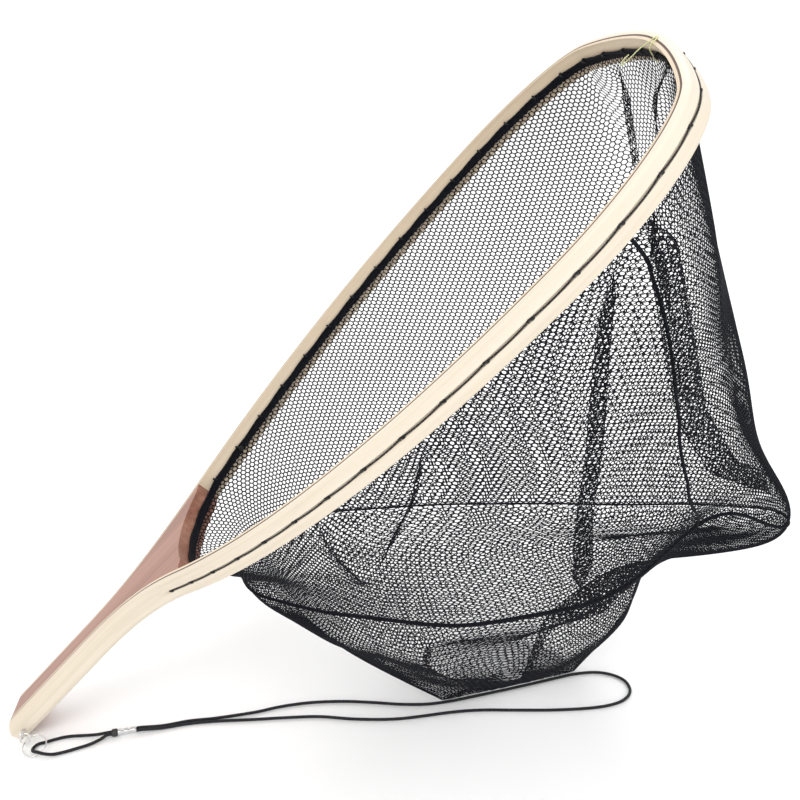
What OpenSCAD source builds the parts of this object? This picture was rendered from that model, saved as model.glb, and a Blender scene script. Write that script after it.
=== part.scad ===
// Landing net: a laminated wooden hoop and handle, a knotless mesh bag that is laced
// to the hoop, and an elastic lanyard.  It stands on its butt and on the foot of its bag.
// Frame coordinates are [along, across, up]: along runs from the butt to the tip, across is
// positive on the left, and up is positive on the mouth side of the hoop.

/* [Wooden frame] */
// Length of the frame from butt to tip
frame_length = 566; // [540:1:600]
// Greatest outside width of the hoop
hoop_width = 268; // [250:2:280]
// Width of the handle
handle_width = 30; // [28:1:34]
// Height of the rim and of the handle
rim_height = 15.7; // [15:0.1:18]
// Thickness of the outer strip of the rim
outer_strip = 3.5; // [3:0.1:4.5]
// Thickness of the dark veneer between the strips
veneer = 1.1; // [0.7:0.1:1.3]
// Thickness of the inner strip of the rim
inner_strip = 1.6; // [1.2:0.1:2.1]
// Radius of the long edges of the handle
grip_edge = 4.2; // [2:0.1:4.5]
// Radius of the long edges of the hoop
hoop_edge = 1.8; // [1:0.1:3]
// Radius of the arc at the throat
throat_radius = 90; // [86:1:94]
// Distance from the butt to the bottom of the throat
throat_start = 184.8; // [183:0.1:187]
// Angle of the frame above the floor
lean = 47.55; // [45:0.05:50]

/* [Lacing] */
// Distance between lacing holes along the rim
lace_pitch = 25.4; // [20:0.1:30]
// Diameter of a lacing hole
lace_hole = 2; // [1.8:0.1:2.6]
// Diameter of the lacing cord
lace_cord = 1.4; // [1.2:0.1:1.7]
// Width of the groove round the rim
groove_width = 2; // [1.8:0.1:3]
// Depth of the groove round the rim
groove_depth = 1; // [0.9:0.1:1.4]

/* [Bag] */
// Thickness of the mesh as a solid sheet
mesh_thickness = 1.2; // [0.8:0.1:2]
// Height of the hem inside the rim
hem_height = 5; // [4.5:0.5:8]
// Farthest reach of the toe of the bag from the butt
toe_reach = 491; // [470:1:510]
// Height of the toe of the bag above the floor
toe_height = 138; // [120:2:150]
// Length of the foot that the bag stands on
foot_length = 96; // [80:2:110]

/* [Lanyard] */
// Diameter of the elastic cord
cord_diameter = 2; // [1.6:0.1:2.4]
// Diameter of the crimp ferrule
ferrule_diameter = 4.2; // [4:0.1:5]
// Length of the crimp ferrule
ferrule_length = 12; // [10:0.5:15]
// Radius of the split ring to the middle of its wire
ring_radius = 7.3; // [7:0.1:9]

/* [Hidden] */
$fn = 48;

half_height = rim_height / 2;
rim_width = outer_strip + veneer + inner_strip;
toe_overhang = half_height;
x_middle = (toe_reach - half_height) / 2;
gap = 0.3;

// ---- Outline of one side of the frame: a straight grip, then four Bezier curves ----
flare_start = [88, handle_width / 2];
flare_end = [188.6, 51.2];
widest = [455, hoop_width / 2];
corner = [549.8, 86.9];
tip = [frame_length, 0];
flare_curve = [flare_start, flare_start + [44, 0], flare_end - [25.6, 17.7], flare_end];
side_curve = [flare_end, flare_end + [82.1, 57.1], widest - [100, 0], widest];
corner_curve = [widest, widest + [45, 0], corner - [10.7, -28], corner];
tip_curve = [corner, corner + [6.7, -17.5], tip + [0, 32], tip];

function bezier(c, t) = pow(1 - t, 3) * c[0] + 3 * t * pow(1 - t, 2) * c[1]
    + 3 * t * t * (1 - t) * c[2] + pow(t, 3) * c[3];
function bezier_slope(c, t) = 3 * pow(1 - t, 2) * (c[1] - c[0])
    + 6 * t * (1 - t) * (c[2] - c[1]) + 3 * t * t * (c[3] - c[2]);
function unit(v) = v / norm(v);
// A station is [point, inward normal].
function station(c, t) = let (d = unit(bezier_slope(c, t))) [bezier(c, t), [d[1], -d[0]]];

butt_angles = [15, 35, 55, 75];
near_stations = concat(
    [for (a = butt_angles) [[half_height * (1 - cos(a)), handle_width / 2], [0, -1]]],
    [for (x = [half_height, 40, 70]) [[x, handle_width / 2], [0, -1]]],
    [for (i = [0:7]) station(flare_curve, i / 8)],
    [for (i = [0:13]) station(side_curve, i / 14)],
    [for (i = [0:7]) station(corner_curve, i / 8)],
    [for (i = [0:6]) station(tip_curve, i / 7)]);
near_count = len(near_stations);
// Both sides, from the butt on the near side round the tip to the butt on the far side.
stations = concat(
    [for (s = near_stations) [[s[0][0], -s[0][1]], [s[1][0], -s[1][1]]]],
    [[tip, [-1, 0]]],
    [for (i = [near_count - 1:-1:0]) near_stations[i]]);
station_count = len(stations);
function inset(s, d) = s[0] + d * s[1];

// Length along the outer face up to each station.
function running(points, i = 0, total = 0) = i == len(points) ? []
    : let (here = total + (i == 0 ? 0 : norm(points[i] - points[i - 1])))
      concat([here], running(points, i + 1, here));
outer_points = [for (s = stations) s[0]];
lengths = running(outer_points);
whole_length = lengths[station_count - 1];
function segment(at, i = 0) = at <= lengths[i + 1] || i == station_count - 2 ? i
    : segment(at, i + 1);
// The station at a given length along the outer face.
function station_at(at) = let (i = segment(at), f = (at - lengths[i]) / (lengths[i + 1] - lengths[i]))
    [stations[i][0] * (1 - f) + stations[i + 1][0] * f,
     unit(stations[i][1] * (1 - f) + stations[i + 1][1] * f)];

lace_first = 180.7;
lace_count = 2 * floor((whole_length / 2 - lace_first) / lace_pitch) + 2;
lace_step = (whole_length - 2 * lace_first) / (lace_count - 1);
hole_places = [for (k = [0:lace_count - 1]) lace_first + k * lace_step];

// ---- Placing: the frame leans, and the origin is under the middle of the net ----
module leaning() {
    translate([-x_middle, 0, half_height]) rotate([0, -lean, 0])
        translate([-half_height, 0, 0]) children();
}
function placed(p) = [(p[0] - half_height) * cos(lean) - p[2] * sin(lean) - x_middle, p[1],
    (p[0] - half_height) * sin(lean) + p[2] * cos(lean) + half_height];

// ---- Sweeps ----
// A solid through closed rings of points, with flat ends.
module rings_solid(rings) {
    sides = len(rings[0]);
    last = len(rings) - 1;
    points = [for (r = rings) for (p = r) p];
    walls = [for (i = [0:last - 1]) for (j = [0:sides - 1])
        let (a = i * sides + j, b = i * sides + (j + 1) % sides)
        for (f = [[a, b, b + sides], [a, b + sides, a + sides]]) f];
    caps = [[for (j = [sides - 1:-1:0]) j], [for (j = [0:sides - 1]) last * sides + j]];
    polyhedron(points, concat(walls, caps), convexity = 8);
}
// A solid through rings that close on themselves.
module rings_loop(rings) {
    sides = len(rings[0]);
    count = len(rings);
    points = [for (r = rings) for (p = r) p];
    walls = [for (i = [0:count - 1]) for (j = [0:sides - 1])
        let (a = i * sides + j, b = i * sides + (j + 1) % sides,
             c = ((i + 1) % count) * sides + j, d = ((i + 1) % count) * sides + (j + 1) % sides)
        for (f = [[a, b, d], [a, d, c]]) f];
    polyhedron(points, walls, convexity = 8);
}
// Rings of a round tube of radius r along a path.
function tangent(path, i) = unit(path[min(i + 1, len(path) - 1)] - path[max(i - 1, 0)]);
function side_of(t) = unit(cross(t, abs(t[2]) < 0.8 ? [0, 0, 1] : [1, 0, 0]));
function tube_ring(p, t, r, sides) = let (a = side_of(t), b = cross(a, t))
    [for (k = [0:sides - 1]) p + r * (cos(360 * (k + 0.5) / sides) * a + sin(360 * (k + 0.5) / sides) * b)];
function tube_rings(path, r, sides) = [for (i = [0:len(path) - 1])
    tube_ring(path[i], tangent(path, i), r, sides)];
function loop_rings(path, r, sides) = let (n = len(path)) [for (i = [0:n - 1])
    tube_ring(path[i], unit(path[(i + 1) % n] - path[(i + n - 1) % n]), r, sides)];
// A Catmull-Rom curve through hand-placed points.
function spline_point(p, i, t) = let (a = p[max(i - 1, 0)], b = p[i], c = p[i + 1],
    d = p[min(i + 2, len(p) - 1)])
    0.5 * (2 * b + (c - a) * t + (2 * a - 5 * b + 4 * c - d) * t * t + (3 * b - a - 3 * c + d) * t * t * t);
function smooth(p, steps) = concat(
    [for (i = [0:len(p) - 2]) for (k = [0:steps - 1]) spline_point(p, i, k / steps)],
    [p[len(p) - 1]]);

// ---- Wooden strips ----
// The edges are well rounded on the handle and crisper on the hoop.
function edge_at(x) = grip_edge + (hoop_edge - grip_edge) * max(0, min(1, (x - 110) / 100));
// Height of the rounded top at a distance d from the outer face, for edges of radius r.
function top_at(d, r) = d >= r ? half_height
    : half_height - r + sqrt(pow(r, 2) - pow(r - d, 2));
// The butt is a half round seen from the side.
function butt_scale(x) = x >= half_height ? 1
    : sqrt(pow(half_height, 2) - pow(half_height - x, 2)) / half_height;
function strip_profile(d1, d2, r) = let (n = d1 == 0 ? 4 : 1,
    steps = [for (i = [0:n]) d1 + (d2 - d1) * pow(i / n, 1.6)])
    concat([for (d = steps) [d, top_at(d, r)]], [for (i = [n:-1:0]) [steps[i], -top_at(steps[i], r)]]);
groove_profile = [[0, -groove_width / 2], [groove_depth, -groove_width / 2],
    [groove_depth, groove_width / 2], [0, groove_width / 2]];
// The groove fades in over the handle end of each side.
function groove_fade(i) = let (at = min(lengths[i], whole_length - lengths[i]))
    max(0.08, min(1, (at - lace_first + 18) / 12));
function strip_rings(d1, d2, grooved) = [for (i = [0:station_count - 1])
    let (s = stations[i], k = butt_scale(s[0][0]),
         groove = [for (g = groove_profile) [g[0] * groove_fade(i), g[1]]],
         profile = concat(strip_profile(d1, d2, edge_at(s[0][0])), grooved ? groove : []))
    [for (q = profile) let (p = inset(s, q[0])) [p[0], p[1], q[1] * k]]];
module lacing_holes() {
    for (at = hole_places) {
        s = station_at(at);
        translate([s[0][0], s[0][1], 0]) rotate([0, 0, atan2(s[1][1], s[1][0])])
            translate([-2, 0, 0]) rotate([0, 90, 0]) cylinder(h = rim_width + 4, d = lace_hole, $fn = 8);
    }
}
module strip(d1, d2, grooved) {
    leaning() difference() {
        rings_solid(strip_rings(d1, d2, grooved));
        lacing_holes();
    }
}
module outer_strip_hoop() {
    color("wheat") strip(0, outer_strip, true);
}
module veneer_hoop() {
    color("saddlebrown") strip(outer_strip, outer_strip + veneer, false);
}
module inner_strip_hoop() {
    color("antiquewhite") strip(outer_strip + veneer, rim_width, false);
}

// ---- Handle core: fills between the strips up to the arc of the throat ----
throat_angle = 35.3;
throat_middle = throat_start + throat_radius;
rail_start = 205;
function throat_arc(d, steps) = [for (i = [-steps:steps]) let (a = throat_angle * i / steps)
    [throat_middle - (throat_radius - d) * cos(a), (throat_radius - d) * sin(a)]];
core_side = [for (s = near_stations) let (p = inset(s, rim_width)) if (p[0] < rail_start - 6) p];
module handle_core() {
    color("rosybrown") leaning() intersection() {
        translate([0, 0, -half_height]) linear_extrude(rim_height)
            polygon(concat([for (p = core_side) [p[0], -p[1]]], throat_arc(0, 10),
                [for (i = [len(core_side) - 1:-1:0]) core_side[i]]));
        union() {
            translate([half_height, 0, 0]) rotate([90, 0, 0])
                cylinder(h = handle_width, r = half_height, center = true);
            translate([half_height, -hoop_width / 2, -rim_height])
                cube([throat_start, hoop_width, 2 * rim_height]);
        }
    }
}

// ---- Mouth of the bag: the throat arc, then the inside of both rails ----
rail_side = [for (s = near_stations) if (s[0][0] > rail_start) s];
function mouth(d) = concat(throat_arc(d, 7),
    [for (s = rail_side) inset(s, rim_width + d)], [[frame_length - rim_width - d, 0]],
    [for (i = [len(rail_side) - 1:-1:0]) let (p = inset(rail_side[i], rim_width + d)) [p[0], -p[1]]]);
hem_top = 1.2;
module net_hem() {
    color([0.1, 0.1, 0.12]) leaning() translate([0, 0, hem_top - hem_height])
        linear_extrude(hem_height) difference() {
            polygon(mouth(gap));
            polygon(mouth(gap + 1.4));
        }
}

// ---- Bag: loops of points from the rim down to the foot ----
rim_points = mouth(gap + 0.7);
loop_count = len(rim_points);
rim_run = running(concat(rim_points, [rim_points[0]]));
throat_index = 7;
rim_span = rim_run[loop_count];
// Turn of each point about the bag: 0 at the throat, 180 at the tip, positive on the far side.
turns = [for (i = [0:loop_count - 1]) 360 * (rim_run[i] - rim_run[throat_index]) / rim_span];
hang_below = 1.2;
rim_loop = [for (p = rim_points) placed([p[0], p[1], hem_top - hem_height - hang_below])];
// A level is [back, front, near half width, far half width, back, middle and front height,
// sideways shift of the front, narrowing of the front].
function level_loop(v) = [for (a = turns) let (f = (1 - cos(a)) / 2, y = sin(a) * (1 - v[8] * f * f),
    z = v[4] * (1 - f) * (1 - 2 * f) + 4 * v[5] * f * (1 - f) + v[6] * f * (2 * f - 1))
    [v[0] + (v[1] - v[0]) * f - x_middle, (y < 0 ? v[2] * y : v[3] * y) + v[7] * f, z]];
foot_end = 371;
seam_level = [150, toe_reach, 64, 78, 128, 112, toe_height, 0, 0.45];
under_level = [172, 415, 54, 70, 94, 80, 113, 4, 0.4];
belly_level = [208, 400, 34, 58, 50, 40, 62, 12, 0.2];
foot_level = [foot_end - foot_length, foot_end, 1, 44, 0, 0, 0, 22, 0];
seam_loop = level_loop(seam_level);
wall_bulge = 5;
waist_loop = [for (i = [0:loop_count - 1]) let (m = (rim_loop[i] + seam_loop[i]) / 2, y = sin(turns[i]))
    m + [0, wall_bulge * y, 0]];
bag_loops = [rim_loop, waist_loop, seam_loop, level_loop(under_level), level_loop(belly_level),
    level_loop(foot_level)];
// Where the slack mesh is drawn up or sags: turn, v, reach in degrees and in v, and the shift.
pulls = [[184, 1.5, 28, 0.27, [-12, 0, 0]], [230, 2, 20, 0.45, [0, 8, 32]],
    [230, 2.9, 20, 0.5, [-10, 4, 18]], [215, 1, 22, 0.3, [0, 14, 0]], [145, 1, 22, 0.3, [0, -12, 0]],
    [335, 2.2, 22, 0.6, [-4, 0, -12]], [320, 3.9, 30, 0.6, [0, 3, 9]]];
function bell(x) = exp(-x * x);
function pulled(turn, v) = min(1, (5 - v) / 0.5) * [for (p = pulls)
    bell(((turn - p[0] + 540) % 360 - 180) / p[2]) * bell((v - p[1]) / p[3])] * [for (p = pulls) p[4]];
function bag_point(i, v) = let (k = min(floor(v), 4))
    spline_point([for (l = bag_loops) l[i]], k, v - k) + pulled(turns[i], v);
// The direction into the bag, square to its skin.
function inward(i, v) = let (n = loop_count, a = bag_point((i + n - 1) % n, v), b = bag_point((i + 1) % n, v),
    c = bag_point(i, max(0, v - 0.05)), d = bag_point(i, min(5, v + 0.05))) unit(cross(d - c, b - a));
foot_middle = [foot_end - foot_length / 2 - x_middle, 30, 0];
function inner_point(i, v) = let (p = bag_point(i, v)) v == 5
    ? p + 2 * mesh_thickness * unit(foot_middle - p) + [0, 0, mesh_thickness]
    : p + mesh_thickness * inward(i, v);
// A double skin between two heights v along the bag, open at the top, or closed by a foot.
module bag_sheet(v_list, footed) {
    sides = loop_count;
    rows = len(v_list);
    // Down the outside, then back up the inside.
    points = concat([for (v = v_list) for (i = [0:sides - 1]) bag_point(i, v)],
        [for (k = [rows - 1:-1:0]) for (i = [0:sides - 1]) inner_point(i, v_list[k])]);
    total = 2 * rows;
    walls = [for (i = [0:total - 1]) if (!footed || i != rows - 1) for (j = [0:sides - 1])
        let (a = i * sides + j, b = i * sides + (j + 1) % sides,
             c = ((i + 1) % total) * sides + j, d = ((i + 1) % total) * sides + (j + 1) % sides)
        for (f = [[a, d, b], [a, c, d]]) f];
    floors = footed ? [[for (j = [sides - 1:-1:0]) (rows - 1) * sides + j],
        [for (j = [0:sides - 1]) rows * sides + j]] : [];
    polyhedron(points, concat(walls, floors), convexity = 10);
}
seam_room = 0.035;
module net_wall() {
    color([0.13, 0.13, 0.16]) bag_sheet([for (v = [0:0.25:1.75]) v, 2 - seam_room], false);
}
module net_bottom() {
    color([0.16, 0.16, 0.19]) bag_sheet([2 + seam_room, for (v = [2.3:0.3:4.7]) v, 5], true);
}
// The seam is a rolled cord between the wall and the bottom.
module bottom_seam() {
    color([0.08, 0.08, 0.1]) rings_loop(loop_rings([for (i = [0:loop_count - 1]) bag_point(i, 2)], 0.8, 6));
}
wall_seam_index = loop_count - 24;
module wall_seam() {
    path = [for (v = [0.04:0.16:1.9]) bag_point(wall_seam_index, v) - 1.1 * inward(wall_seam_index, v)];
    color([0.08, 0.08, 0.1]) rings_solid(tube_rings(path, 0.7, 6));
}

// ---- Lacing ----
lace_seat = groove_depth - lace_cord / 2 - 0.05;
function lace_path(from, to) = concat([inset(station_at(from), lace_seat)],
    [for (i = [0:station_count - 1]) if (lengths[i] > from + 2 && lengths[i] < to - 2)
        inset(stations[i], lace_seat)],
    [inset(station_at(to), lace_seat)]);
module lace_run(from, to) {
    path = [for (p = lace_path(from, to)) [p[0], p[1], 0]];
    rings_solid(tube_rings(path, lace_cord / 2, 8));
}
// Each hole holds a turn of the cord that catches the hem.
module lacing_cord() {
    color([0.07, 0.07, 0.07]) leaning() {
        lace_run(hole_places[0], hole_places[lace_count - 1]);
        for (at = hole_places) {
            s = station_at(at);
            translate([s[0][0], s[0][1], 0]) rotate([0, 0, atan2(s[1][1], s[1][0])])
                translate([lace_seat, 0, 0]) rotate([0, 90, 0])
                    cylinder(h = rim_width + 0.1 - lace_seat, d = lace_cord - 0.2, $fn = 8);
        }
    }
}
module lacing_knot(at) {
    s = station_at(at);
    p = inset(s, rim_width + gap + 1.4 + 1.7);
    color([0.07, 0.07, 0.07]) leaning() translate([p[0], p[1], -1])
        rotate([90, 0, atan2(s[1][1], s[1][0]) + 90])
            rotate_extrude($fn = 24) translate([0.9, 0]) circle(r = 0.75, $fn = 16);
}
module lacing_knot_near() { lacing_knot(hole_places[2]); }
module lacing_knot_far() { lacing_knot(hole_places[lace_count - 3]); }

// ---- Lanyard fittings ----
eye_seat = placed([8.6, -handle_width / 2, -2.2]);
eye_inner = 2.1;
eye_wire = 1.2;
eye_neck = 1.2;
eye_middle = eye_seat - [0, eye_neck + eye_wire / 2 + eye_inner, 0];
module screw_eye() {
    color("silver") {
        translate(eye_middle) rotate([0, 90, 0]) rotate_extrude()
            translate([eye_inner + eye_wire / 2, 0]) circle(d = eye_wire, $fn = 24);
        translate(eye_seat) rotate([90, 0, 0]) cylinder(h = eye_neck + 0.8, d = eye_wire + 0.2);
        translate(eye_seat) rotate([90, 0, 0]) cylinder(h = 0.5, d = 2.6);
    }
}
// A small link hangs from the eye, and the ring from the link.
link_wire = 1;
link_radius = 3.2;
link_way = unit([0.62, -0.45, -0.64]);
link_turn = atan2(0.64, 0.45);
module link_ring() {
    color("silver") translate(eye_middle + link_radius * link_way) rotate([link_turn, 0, 0])
        rotate_extrude() translate([link_radius, 0]) circle(d = link_wire, $fn = 24);
}
ring_wire = 1.5;
ring_heading = -33.5;
ring_pitch = 6.8;
ring_roll = 15.2;
ring_hang = 2 * link_radius - link_wire / 2 - ring_wire / 2 - 0.5;
module split_ring() {
    color("silver") translate(eye_middle + ring_hang * link_way) rotate([0, 0, ring_heading])
        rotate([ring_roll, ring_pitch, 0]) translate([ring_radius, 0, 0])
            rotate_extrude() translate([ring_radius, 0]) circle(d = ring_wire, $fn = 24);
}
bead_left = [57.9, -17.1, 2.7];
ferrule_heading = 8.7;
ferrule_way = [cos(ferrule_heading), sin(ferrule_heading), 0];
bead_length = 3.6;
ferrule_left = bead_left + bead_length * ferrule_way;
ferrule_right = ferrule_left + ferrule_length * ferrule_way;
function from_butt(p) = [p[0] - x_middle, p[1], p[2]];
module stop_bead() {
    color([0.07, 0.07, 0.07]) translate(from_butt(bead_left)) rotate([0, 0, ferrule_heading])
        rotate([0, 90, 0]) cylinder(h = bead_length, d = 5);
}
module crimp_ferrule() {
    color("gainsboro") translate(from_butt(ferrule_left)) rotate([0, 0, ferrule_heading])
        rotate([0, 90, 0]) cylinder(h = ferrule_length, d = ferrule_diameter);
}

// ---- Cords: routes are measured from the butt, along the floor ----
lay = 1.1;
strand_gap = 1.08;
strand_side = [-sin(ferrule_heading), cos(ferrule_heading), 0] * strand_gap;
small_loop_route = concat([bead_left + strand_side, bead_left + strand_side - 3 * ferrule_way],
    [[48, -16.9, 1.9], [40, -16.4, 1.2], [33, -16.3, lay], [27, -17, lay], [21.5, -18.6, lay],
     [16.6, -20.4, lay], [12.3, -21.8, lay], [10.4, -25, 1.5], [11, -28.9, 2.6], [14.9, -31.4, 3.8],
     [19, -32.4, 3.2], [24, -31.6, 1.6], [30, -29.8, lay], [36, -27.8, lay], [45, -24.6, 1.3],
     [51, -21.6, 2]],
    [bead_left - strand_side - 3 * ferrule_way, bead_left - strand_side]);
wrist_loop_route = concat([ferrule_right - strand_side, ferrule_right - strand_side + 3 * ferrule_way],
    [[90, -13.4, 1.5], [106, -10.4, lay], [124, -9.4, lay], [149, -9.6, lay], [170, -9.4, lay],
     [192, -10, lay], [217, -14, lay], [245, -15.5, lay], [280, -12, lay], [300, -11.4, lay],
     [323, -13, lay], [348, -14.6, lay], [372, -14.6, lay], [388, -12.6, lay], [399, -8, lay],
     [405, 0, lay], [404, 9.5, lay], [397, 16, lay], [386, 19.4, lay], [371, 18.8, lay],
     [356, 15.4, lay], [338, 11, lay], [319, 6.6, lay], [300, 2.4, lay], [282, -1.4, lay],
     [265, -3.4, lay], [247, -2.4, lay], [228, 0.6, lay], [208, 3, lay], [186, 3.4, lay],
     [166, 1, lay], [149, -3, lay], [124, -6.6, lay], [106, -8, lay], [90, -11.4, 1.5]],
    [ferrule_right + strand_side + 3 * ferrule_way, ferrule_right + strand_side]);
module cord(route, steps, d) {
    path = [for (p = smooth(route, steps)) from_butt(p)];
    rings_solid(tube_rings(path, d / 2, 8));
}
module lanyard_small_loop() {
    color([0.06, 0.06, 0.06]) cord(small_loop_route, 2, cord_diameter);
}
module lanyard_wrist_loop() {
    color([0.06, 0.06, 0.06]) cord(wrist_loop_route, 2, cord_diameter);
}
// A thin thread caught in the hem at the tip, with a loop that hangs into the mouth.
thread_diameter = 0.8;
tag_route = [[556.6, -7, -3.2], [556.5, -10, 0.4], [556.3, -14, 4.4], [556.6, -17, 7.4], [558.6, -18.4, 9.3],
    [561.6, -17.6, 9.4], [562.6, -15.4, 9.4], [560.4, -13, 9.4], [557, -10.4, 9], [553.6, -7, 8.2],
    [550.6, -2.6, 7], [548.2, 2, 5.8], [546.6, 5.4, 5], [545.6, 8.4, 4.6], [547, 9.2, 5.4], [548.8, 6.8, 6.2],
    [550.6, 3.6, 7]];
module tag_thread() {
    path = [for (p = smooth(tag_route, 2)) placed(p)];
    color("palegoldenrod") rings_solid(tube_rings(path, thread_diameter / 2, 8));
}

outer_strip_hoop();
veneer_hoop();
inner_strip_hoop();
handle_core();
net_hem();
net_wall();
net_bottom();
bottom_seam();
wall_seam();
lacing_cord();
lacing_knot_near();
lacing_knot_far();
screw_eye();
link_ring();
split_ring();
lanyard_small_loop();
stop_bead();
crimp_ferrule();
lanyard_wrist_loop();
tag_thread();
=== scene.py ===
import math

import bmesh
import bpy
import numpy as np
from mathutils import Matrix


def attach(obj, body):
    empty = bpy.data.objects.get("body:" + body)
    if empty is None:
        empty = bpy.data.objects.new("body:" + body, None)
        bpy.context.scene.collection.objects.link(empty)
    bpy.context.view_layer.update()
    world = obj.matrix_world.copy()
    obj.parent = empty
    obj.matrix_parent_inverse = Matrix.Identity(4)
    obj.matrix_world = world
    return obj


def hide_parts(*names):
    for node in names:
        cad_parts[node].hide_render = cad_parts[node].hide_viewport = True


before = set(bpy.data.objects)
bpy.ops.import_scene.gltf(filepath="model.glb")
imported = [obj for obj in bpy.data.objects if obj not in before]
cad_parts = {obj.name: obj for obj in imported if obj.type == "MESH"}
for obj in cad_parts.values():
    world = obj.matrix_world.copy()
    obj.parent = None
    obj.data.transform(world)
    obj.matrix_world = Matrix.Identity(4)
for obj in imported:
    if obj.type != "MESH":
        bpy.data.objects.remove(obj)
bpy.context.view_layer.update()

# ---------------------------------------------------------------- camera
lens_data = bpy.data.cameras.new("camera")
lens_data.lens = 42.07
lens_data.sensor_width = 36
camera = bpy.data.objects.new("camera", lens_data)
camera.location = (-0.0285, -0.4842, 0.4570)
camera.rotation_euler = (math.radians(64.68), 0, math.radians(-3.92))
bpy.context.collection.objects.link(camera)
bpy.context.scene.camera = camera

# ---------------------------------------------------------------- sizes, in millimetres
LEAN = math.radians(47.55)
HALF = 7.85
RIM = 6.2
X_MID = (491 - HALF) / 2
PITCH = 25.4


def placed(u, w, n):
    """Frame coordinates (along, across, up) to the row frame, in metres."""
    u, w, n = np.broadcast_arrays(u, w, n)
    x = (u - HALF) * math.cos(LEAN) - n * math.sin(LEAN) - X_MID
    z = (u - HALF) * math.sin(LEAN) + n * math.cos(LEAN) + HALF
    return np.stack([x, w + 0.0, z], -1) / 1000


def bezier(c, t):
    c, t = np.array(c, float), t[:, None]
    return (1 - t) ** 3 * c[0] + 3 * t * (1 - t) ** 2 * c[1] + 3 * t * t * (1 - t) * c[2] + t**3 * c[3]


def resample(points, count, closed=False):
    """Evenly spaced points along a polyline, and its length."""
    p = np.vstack([points, points[:1]]) if closed else np.array(points, float)
    run = np.concatenate([[0], np.cumsum(np.linalg.norm(np.diff(p, axis=0), axis=1))])
    at = np.linspace(0, run[-1], count, endpoint=not closed)
    return np.stack([np.interp(at, run, p[:, k]) for k in range(p.shape[1])], -1), run[-1]


def between(a, b, c, d, t):
    """The point at t, from 0 to 1, between b and c on a smooth curve through a, b, c and d."""
    square = 2 * a - 5 * b + 4 * c - d
    cube = 3 * b - a - 3 * c + d
    return 0.5 * (2 * b + (c - a) * t + square * t**2 + cube * t**3)


def catmull(points, steps):
    """A smooth curve through points, with so many steps between each two."""
    p = np.array(points, float)
    q = np.vstack([p[:1], p, p[-1:]])
    out = []
    for i in range(len(p) - 1):
        a, b, c, d = q[i : i + 4]
        t = (np.arange(steps) / steps)[:, None]
        out.append(between(a, b, c, d, t))
    return np.vstack(out + [p[-1:]])


# ---------------------------------------------------------------- outline of the frame
t = np.linspace(0, 1, 300)
half_side = np.vstack(
    [
        np.stack([np.linspace(0, 88, 120), np.full(120, 15.0)], -1),
        bezier([(88, 15), (132, 15), (163, 33.5), (188.6, 51.2)], t)[1:],
        bezier([(188.6, 51.2), (270.7, 108.3), (355, 134), (455, 134)], t)[1:],
        bezier([(455, 134), (500, 134), (539.1, 114.9), (549.8, 86.9)], t)[1:],
        bezier([(549.8, 86.9), (556.5, 69.4), (566, 32), (566, 0)], t)[1:],
    ]
)
outline = np.vstack([half_side * [1, -1], half_side[-2::-1]])
outline_run = np.concatenate([[0], np.cumsum(np.linalg.norm(np.diff(outline, axis=0), axis=1))])
WHOLE = outline_run[-1]
tangents = np.gradient(outline, outline_run, axis=0)
tangents /= np.linalg.norm(tangents, axis=1)[:, None]
inward_normals = np.stack([-tangents[:, 1], tangents[:, 0]], -1)


def on_outline(s, d=0.0):
    """Points at length s round the outer face, moved inward by d."""
    p = np.stack([np.interp(s, outline_run, outline[:, k]) for k in (0, 1)], -1)
    n = np.stack([np.interp(s, outline_run, inward_normals[:, k]) for k in (0, 1)], -1)
    n /= np.linalg.norm(n, axis=-1, keepdims=True)
    return p + n * np.asarray(d, float)[..., None]


LACE_FIRST = 180.7
HOLES = 2 * int((WHOLE / 2 - LACE_FIRST) // PITCH) + 2
hole_at = np.linspace(LACE_FIRST, WHOLE - LACE_FIRST, HOLES)

# ---------------------------------------------------------------- mesh helpers


def new_mesh(name, verts, faces, smooth=True, sharp=None):
    mesh = bpy.data.meshes.new(name)
    mesh.from_pydata([tuple(v) for v in verts], [], [tuple(f) for f in faces])
    mesh.update()
    obj = bpy.data.objects.new(name, mesh)
    bpy.context.collection.objects.link(obj)
    mesh.polygons.foreach_set("use_smooth", [smooth] * len(mesh.polygons))
    if sharp:
        bm = bmesh.new()
        bm.from_mesh(mesh)
        for e in bm.edges:
            if len(e.link_faces) == 2 and e.calc_face_angle(0) > sharp:
                e.smooth = False
        bm.to_mesh(mesh)
        bm.free()
    return obj


def big_mesh(name, verts, quads_or_tris):
    """A mesh straight from arrays, for the many faces of the net."""
    verts, faces = np.asarray(verts, np.float32), np.asarray(quads_or_tris, np.int32)
    mesh = bpy.data.meshes.new(name)
    mesh.vertices.add(len(verts))
    mesh.vertices.foreach_set("co", verts.ravel())
    sides = faces.shape[1]
    mesh.loops.add(faces.size)
    mesh.loops.foreach_set("vertex_index", faces.ravel())
    mesh.polygons.add(len(faces))
    mesh.polygons.foreach_set("loop_start", np.arange(len(faces), dtype=np.int32) * sides)
    mesh.polygons.foreach_set("use_smooth", np.ones(len(faces), bool))
    mesh.update(calc_edges=True)
    mesh.validate()
    obj = bpy.data.objects.new(name, mesh)
    bpy.context.collection.objects.link(obj)
    return obj


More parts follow.
